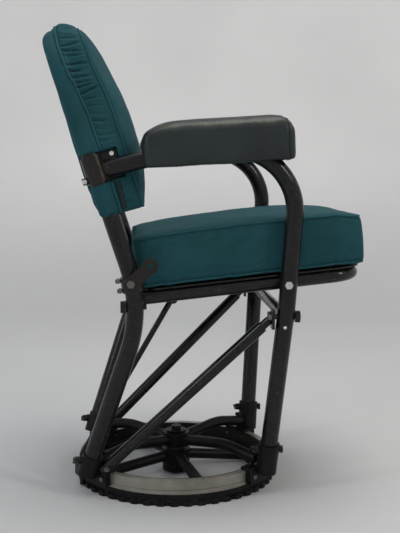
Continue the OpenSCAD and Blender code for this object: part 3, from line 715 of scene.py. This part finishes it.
def along_lean(table, s):
    return np.interp(s, *zip(*table))


def lean_back(t, s):
    """The cover is thinner towards its top, where both seams lie further back."""
    rear = smoothstep(-8, -15, t) * along_lean(REAR_FACE_SHIFT, s)
    share = np.clip((t - BAND_REAR) / (BAND_FRONT - BAND_REAR), 0, 1)
    seams = (1 - share) * along_lean(REAR_SEAM_SHIFT, s) + share * along_lean(FRONT_SEAM_SHIFT, s)
    return t + rear + smoothstep(-2, BAND_REAR, t) * seams


def cover_ring(t, half, top, low, r):
    outline = resampled_outline(rounded_outline(half, low, top, 10, r))
    return [(float(lean_back(t, v)), u, v) for u, v in outline]


def crown_ring(inset):
    t, half, top, low, r = FRONT_SEAM
    share = math.sin(math.pi / 2 * min(1, inset / 90)) ** 0.7
    outline = rounded_outline(half - inset, low + 0.9 * inset, top - 0.9 * inset, 9, max(r - 0.3 * inset, 20))
    return [(float(lean_back(t, v) + share * along_lean(CROWN, v)) + 1.5, u, v)
            for u, v in resampled_outline(outline)]


def hoop_path():
    """Centre line of the hoop inside the cover: post, corner, top bar, corner, post."""
    half, top, bend = 206, 338, 75
    points = [(0, -half, z) for z in range(-20, top - bend, 12)]
    for side in SIDES:
        arc = []
        for k in range(13):
            a = math.radians(90 * k / 12)
            arc.append((0, side * (half - bend + bend * math.cos(a)), top - bend + bend * math.sin(a)))
        points += arc if side < 0 else arc[::-1]
    points += [(0, half, z) for z in range(top - bend, -20, -12)]
    return resampled([Vector(p) * MM for p in points], 0.004, closed=False)


def cut_for_brackets(co):
    """Draws the sides in between the cover's upper and lower part, where the arm brackets pass."""
    t, y, s = co[:, 0] / MM, co[:, 1] / MM, co[:, 2] / MM
    inside = (s > NOTCH[0]) & (s < NOTCH[1]) & (t < 46)
    outer = np.abs(y) > NOTCH_HALF
    hit = inside & outer
    co[hit, 1] = np.sign(y[hit]) * (NOTCH_HALF - 0.04 * (np.abs(y[hit]) - NOTCH_HALF)) * MM
    return co


def hug_hoop(obj):
    """Keeps the cover's wall outside the hoop, so that the tube shows through it."""
    co = coordinates(obj)
    path = hoop_path()
    distance, index = nearest_distance(co, path)
    reach = HOOP_CLEAR * MM
    at_notch = (co[:, 2] > (NOTCH[0] - 2) * MM) & (co[:, 2] < (NOTCH[1] + 2) * MM)
    near = (distance < reach) & (co[:, 2] > 0.0) & ~at_notch
    near &= np.abs(co[:, 2] - BACK_LOW * MM) > 0.006
    away = co - path[index]
    away /= np.maximum(np.linalg.norm(away, axis=1), 1e-6)[:, None]
    co[near] = path[index][near] + away[near] * reach
    set_coordinates(obj, co)


def across_band(t, s):
    """A point's place across the side band, as if the seams had not moved."""
    rear, front = BAND_REAR + along_lean(REAR_SEAM_SHIFT, s), BAND_FRONT + along_lean(FRONT_SEAM_SHIFT, s)
    return BAND_REAR + (BAND_FRONT - BAND_REAR) * (t - rear) / (front - rear)


def gathers(obj):
    """Folds across the side band, gathered along the rear seam and dying out towards the front one."""
    rng = random.Random(5)
    co = coordinates(obj)
    middle = resampled([Vector(p) * MM for p in cover_ring(*COVER[12])], 0.002)
    distance, index = nearest_distance(co, middle)
    q = index * 2.0
    total = len(middle) * 2.0
    s = co[:, 2] / MM
    t = across_band(co[:, 0] / MM, s)
    band = smoothstep(19, 24, t) * smoothstep(61, 54, t) * (distance < 0.04)
    band *= (s > NOTCH[1]) | (s < NOTCH[0])
    downwards = -np.sign(co[:, 1])
    push = np.zeros(len(co))
    at = 0.0
    while at < total:
        at += rng.uniform(8, 15)
        width = rng.uniform(1.6, 2.6)
        depth = rng.uniform(0.9, 2.8)
        lean = rng.uniform(0.05, 0.4)
        reach = rng.uniform(22, 52)
        bend = rng.uniform(-0.006, 0.006)
        x = (q - at + total / 2) % total - total / 2
        x = (x - downwards * lean * (t - BAND_REAR) - bend * (t - BAND_REAR) ** 2) / width
        fade = smoothstep(BAND_REAR + reach, BAND_REAR + 0.5 * reach, t)
        push -= fade * depth * fold(x, 0.5, 2.1)
    push = np.clip(push, -3.6, 2.4) * band * (0.5 + 0.5 * smoothstep(140, 200, s))
    set_coordinates(obj, co + vertex_normals(obj) * (push * MM)[:, None])
    return smoothstep(0.2, 1.8, -push)


def refine_band(obj):
    """Gives the side band a finer mesh, so that it can take narrow folds."""

    def in_band(v):
        t, y, s = v.co / MM
        outwards = math.hypot(max(abs(y) - 110, 0), max(s - 240, 0))
        return BAND_REAR - 6 < across_band(t, s) < BAND_FRONT + 4 and s > 125 and outwards > 70

    bm = bmesh.new()
    bm.from_mesh(obj.data)
    fine = [e for e in bm.edges if all(in_band(v) for v in e.verts)]
    bmesh.ops.subdivide_edges(bm, edges=fine, cuts=1, use_grid_fill=True, smooth=0)
    bmesh.ops.triangulate(bm, faces=[f for f in bm.faces if len(f.verts) > 4])
    bm.to_mesh(obj.data)
    bm.free()
    for p in obj.data.polygons:
        p.use_smooth = True


def drape_rear(obj):
    """The rear of the cover hangs slightly hollow between the posts, with faint drag lines."""
    co = coordinates(obj)
    t, y, s = co[:, 0] / MM, co[:, 1] / MM, co[:, 2] / MM
    rear = smoothstep(-6, -12, t) * smoothstep(200, 150, np.abs(y)) * smoothstep(325, 270, s)
    lines = np.sin(s / 17 + 1.3 * np.sin(y / 60)) * smoothstep(60, 170, np.abs(y))
    co[:, 0] += rear * (2.0 + 0.5 * lines) * MM
    set_coordinates(obj, co)


def make_back():
    rings = [cover_ring(*r) for r in COVER] + [crown_ring(inset) for inset in CROWN_INSETS]
    obj = closed_body("back_cover", rings, BACK)
    rear = resampled([Vector(p) * MM for p in cover_ring(*REAR_SEAM)], 0.004)
    front = resampled([Vector(p) * MM for p in cover_ring(*FRONT_SEAM)], 0.004)
    inflate(obj, [rear, front], 5.5, 3.5, 9, hold=5.5)
    refine(obj)
    uneven(obj, 80, 1.6, 3)
    uneven(obj, 28, 0.8, 4)
    drape_rear(obj)
    hug_hoop(obj)
    refine_band(obj)
    valleys = gathers(obj)
    rear_line, _ = on_surface(obj, rear)
    front_line, _ = on_surface(obj, front)
    groove(obj, rear_line, 2.0, 3.5)
    groove(obj, front_line, 2.2, 3.5)
    set_coordinates(obj, cut_for_brackets(coordinates(obj)))
    fabric_marks(obj, [rear_line, front_line], valleys)
    finish_piece(obj, teal)
    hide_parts("back_cushion", "back_sleeve")

    def clear_of_notch(line):
        """The open stretches of a seam above and below the arm brackets."""
        s = line[:, 2] / MM
        keep = (s < NOTCH[0] - 2) | (s > NOTCH[1] + 2)
        start = int(np.nonzero(~keep)[0][0])
        line, keep = np.roll(line, -start, 0), np.roll(keep, -start)
        runs, run = [], []
        for p, k in zip(line, keep):
            if k:
                run.append(p)
            elif run:
                runs.append(run)
                run = []
        if run:
            runs.append(run)
        return runs

    for i, run in enumerate(clear_of_notch(rear_line)):
        piping(f"back_rear_piping_{i}", obj, run, 2.4, teal_trim, 1.3, closed=False)
    piping("back_front_piping", obj, front_line, 2.2, teal_trim, 0.7)
    return obj


CUBE_FACES = ((0, 1, 3, 2), (4, 6, 7, 5), (0, 4, 5, 1), (2, 3, 7, 6), (0, 2, 6, 4), (1, 5, 7, 3))


def make_zip(obj, side):
    """A brass zip in the lower side of the cover: its tape and teeth."""
    name = "right" if side < 0 else "left"
    tape_half, tooth_pitch = 6.5, 2.1
    low, high = Vector((31, side * 215, 14)) * MM, Vector((32, side * 215, 71)) * MM
    path = [low.lerp(high, k / 24) for k in range(25)]
    points, normals = on_surface(obj, np.array([list(p) for p in path]), 0.4)
    points = settle(points, 6, closed=False)
    tape = sweep(f"zip_tape_{name}", points, tape_half * MM, obj.matrix_world, 12, closed=False, flat=0.09,
                 normals=normals)
    finish_piece(tape, teal_dark)
    teeth_at = resampled(points, tooth_pitch * MM, closed=False)
    vertices, faces = [], []
    way = (teeth_at[-1] - teeth_at[0]) / np.linalg.norm(teeth_at[-1] - teeth_at[0])
    for i, p in enumerate(teeth_at):
        n = normals[min(int(i * len(normals) / len(teeth_at)), len(normals) - 1)]
        across = np.cross(way, n)
        across /= np.linalg.norm(across)
        shift = across * (0.9 if i % 2 else -0.9) * MM
        first = len(vertices)
        middle = p + shift + n * 0.9 * MM
        for a in SIDES:
            for b in SIDES:
                for c in SIDES:
                    vertices.append(middle + (across * a * 1.6 + way * b * 0.7 + n * c * 0.8) * MM)
        faces += [tuple(first + k for k in f) for f in CUBE_FACES]
    mesh = mesh_from("zip_teeth", vertices, faces, smooth=False)
    teeth = new_object(f"zip_teeth_{name}", mesh, obj.matrix_world)
    apply_modifier(teeth, "BEVEL", width=0.0003, segments=2)
    finish_piece(teeth, brass)


# ---------------------------------------------------------------- armrest pads

PAD_LEN = 267
PAD_HALF = 38
PAD_SEAM = 62


def pad_ring(inset, z):
    r = max(15 - 0.5 * inset, 6)
    outline = rounded_outline(PAD_HALF - inset, inset, PAD_LEN - inset, r, r)
    points = []
    for u, v in resampled_outline(outline, 120):
        rear = float(smoothstep(72, 0, v)) ** 1.5
        front = float(smoothstep(PAD_LEN - 26, PAD_LEN, v)) ** 1.6
        share = max(z, 0) / 80
        points.append((v, u, z * (1 - 0.14 * rear * share - 0.1 * front * share)))
    return points


def make_pad(side):
    name = "right" if side < 0 else "left"
    profile = ((30, -0.5), (8, -1), (2, 0.5), (0.4, 5), (0, 14), (-0.5, 34), (0, 52), (0.8, 58),
               (2, PAD_SEAM), (6, 68), (12, 73), (20, 76.5), (30, 78.5))
    obj = closed_body(f"{name}_armrest_cover", [pad_ring(i, z) for i, z in profile], pad_frame(side))
    top = resampled([Vector(p) * MM for p in pad_ring(1.6, PAD_SEAM)], 0.003)
    low = resampled([Vector(p) * MM for p in pad_ring(2, 0.5)], 0.003)
    end = [Vector((PAD_LEN - 11, u * side, z)) * MM for u, z in end_outline()]
    end = resampled(end, 0.003)
    inflate(obj, [top, low], 4, 4.0, 5, hold=3.5, bending=1.0)
    refine(obj)
    uneven(obj, 45, 1.0, 5 + side)
    uneven(obj, 16, 0.35, 7 + side)
    pad_folds(obj, 3 + side)
    top_line, _ = on_surface(obj, top)
    end_line, _ = on_surface(obj, end)
    groove(obj, top_line, 0.5, 3.0)
    groove(obj, end_line, 1.4, 3.2)
    co = coordinates(obj) / MM
    # Partly rubbed wear, partly a painted highlight: a narrow band just above the top seam, a faint lift over
    # the top, and a band round the front end.
    worn_and_highlight = np.exp(-(((co[:, 2] - PAD_SEAM - 6) / 5) ** 2)) * smoothstep(12, 50, co[:, 0])
    worn_and_highlight = np.maximum(worn_and_highlight, 0.1 * smoothstep(PAD_SEAM + 4, PAD_SEAM + 14, co[:, 2]))
    front = np.exp(-(((co[:, 0] - PAD_LEN + 6) / 7) ** 2)) * smoothstep(45, 68, co[:, 2])
    store(obj, "rubbed_and_highlight", np.clip(np.maximum(worn_and_highlight, front), 0, 1))
    finish_piece(obj, leather)
    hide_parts(f"{name}_armrest_pad")
    piping(f"{name}_pad_end_welt", obj, end_line, 1.7, leather_trim, 0.5)
    return obj


def end_outline():
    """Outline of a pad's cross section, for the welt round its front end."""
    half = PAD_HALF + 0.5
    return [(-half, 4), (-half, 30), (-half, 58), (5 - half, 66), (-24, 72), (-10, 76), (10, 76), (24, 72),
            (half - 5, 66), (half, 58), (half, 30), (half, 4), (half - 4, -1), (10, -1.5), (-10, -1.5),
            (4 - half, -1)]


def pad_folds(obj, seed):
    """Small folds where the leather is drawn round the pad's ends."""
    rng = random.Random(seed)
    co = coordinates(obj) / MM
    push = np.zeros(len(co))
    for _ in range(12):
        start = rng.choice((0, PAD_LEN))
        y = rng.uniform(-30, 30)
        width = rng.uniform(2.5, 5)
        reach = rng.uniform(14, 34)
        line = (co[:, 1] - y * (1 + 0.004 * np.abs(co[:, 0] - start))) / width
        fade = smoothstep(reach, 2, np.abs(co[:, 0] - start)) * smoothstep(50, 64, co[:, 2])
        push -= fade * rng.uniform(0.4, 1.0) * fold(line, 0.5, 1.8)
    set_coordinates(obj, (co + vertex_normals(obj) * push[:, None]) * MM)


def make_rivet(side):
    """A round rivet head on the outside of a front leg, a little below the seat."""
    turn = Matrix.Rotation(-side * math.pi / 2, 4, "X")
    place = Matrix.Translation(Vector((185.5, side * 215.2, 336.6)) * MM) @ turn
    angles = [2 * math.pi * k / 24 for k in range(24)]
    rings = [[(r * math.cos(a), r * math.sin(a), z) for a in angles]
             for r, z in ((3.3, -1.5), (3.3, 0.2), (3.0, 0.8), (2.2, 1.4), (1.1, 1.8))]
    obj = closed_body(f"{'right' if side < 0 else 'left'}_leg_rivet", rings, place)
    finish_piece(obj, bright)


make_seat()
back = make_back()
for side in SIDES:
    make_zip(back, side)
    make_pad(side)
    make_rivet(side)

# ---------------------------------------------------------------- studio


def make_bowl():
    """A pale floor that rises into a wall all the way round."""
    flat, bend, rim = 2.0, 1.0, 3.4
    profile = [(r, 0) for r in np.linspace(0.01, flat, 14)]
    for a in np.linspace(0.1, math.pi / 2, 12):
        profile.append((flat + bend * math.sin(a), bend - bend * math.cos(a)))
    profile.append((flat + bend, rim))
    count = 96
    vertices = [(r * math.cos(2 * math.pi * k / count), r * math.sin(2 * math.pi * k / count), z)
                for r, z in profile for k in range(count)]
    faces = []
    for i in range(len(profile) - 1):
        for k in range(count):
            a, b = i * count + k, i * count + (k + 1) % count
            faces.append((a, b, b + count, a + count))
    faces.append(tuple(range(count))[::-1])
    bowl = new_object("studio_floor", mesh_from("studio_floor", vertices, faces))
    bowl.data.materials.append(floor_look("pale_floor"))


def area_light(name, place, target, size, power, color):
    data = bpy.data.lights.new(name, "AREA")
    data.shape = "RECTANGLE"
    data.size, data.size_y = size
    data.energy = power
    data.color = color
    obj = bpy.data.objects.new(name, data)
    bpy.context.scene.collection.objects.link(obj)
    obj.location = place
    obj.rotation_euler = (Vector(target) - Vector(place)).to_track_quat("-Z", "Y").to_euler()


def make_light():
    area_light("ceiling", (0.25, -0.1, 2.9), (0, 0.1, 0.4), (1.6, 1.2), 28, (1.0, 0.98, 0.95))
    area_light("right_front", (1.9, -1.7, 1.9), (0.1, 0, 0.5), (0.3, 0.9), 14, (1.0, 0.95, 0.88))
    area_light("left_window", (-2.2, -1.3, 1.7), (-0.1, 0, 0.5), (0.35, 1.1), 12, (0.8, 0.9, 1.0))
    world = bpy.data.worlds.new("studio")
    bpy.context.scene.world = world
    world.use_nodes = True
    background = world.node_tree.nodes["Background"]
    background.inputs["Color"].default_value = (0.93, 0.96, 1.0, 1)
    background.inputs["Strength"].default_value = 0.56


def make_camera():
    """The camera stands to the chair's right, a little in front of it, and looks slightly down."""
    place = Vector((-88.4, -1784.3, 630)) * MM
    yaw, pitch, roll = 0.0763, 0.1148, 0.0034  # radians
    data = bpy.data.cameras.new("camera")
    data.sensor_fit = "VERTICAL"
    data.sensor_height = 36
    data.lens = 60.35
    camera = bpy.data.objects.new("camera", data)
    bpy.context.scene.collection.objects.link(camera)
    ahead = Vector((math.sin(yaw) * math.cos(pitch), math.cos(yaw) * math.cos(pitch), -math.sin(pitch)))
    level = Vector((math.cos(yaw), -math.sin(yaw), 0))
    above = level.cross(ahead)
    right = level * math.cos(roll) + above * math.sin(roll)
    up = above * math.cos(roll) - level * math.sin(roll)
    turn = Matrix((right, up, -ahead)).transposed().to_4x4()
    camera.matrix_world = Matrix.Translation(place) @ turn
    bpy.context.scene.camera = camera


make_bowl()
make_light()
make_camera()
bpy.context.scene.view_settings.view_transform = "Standard"
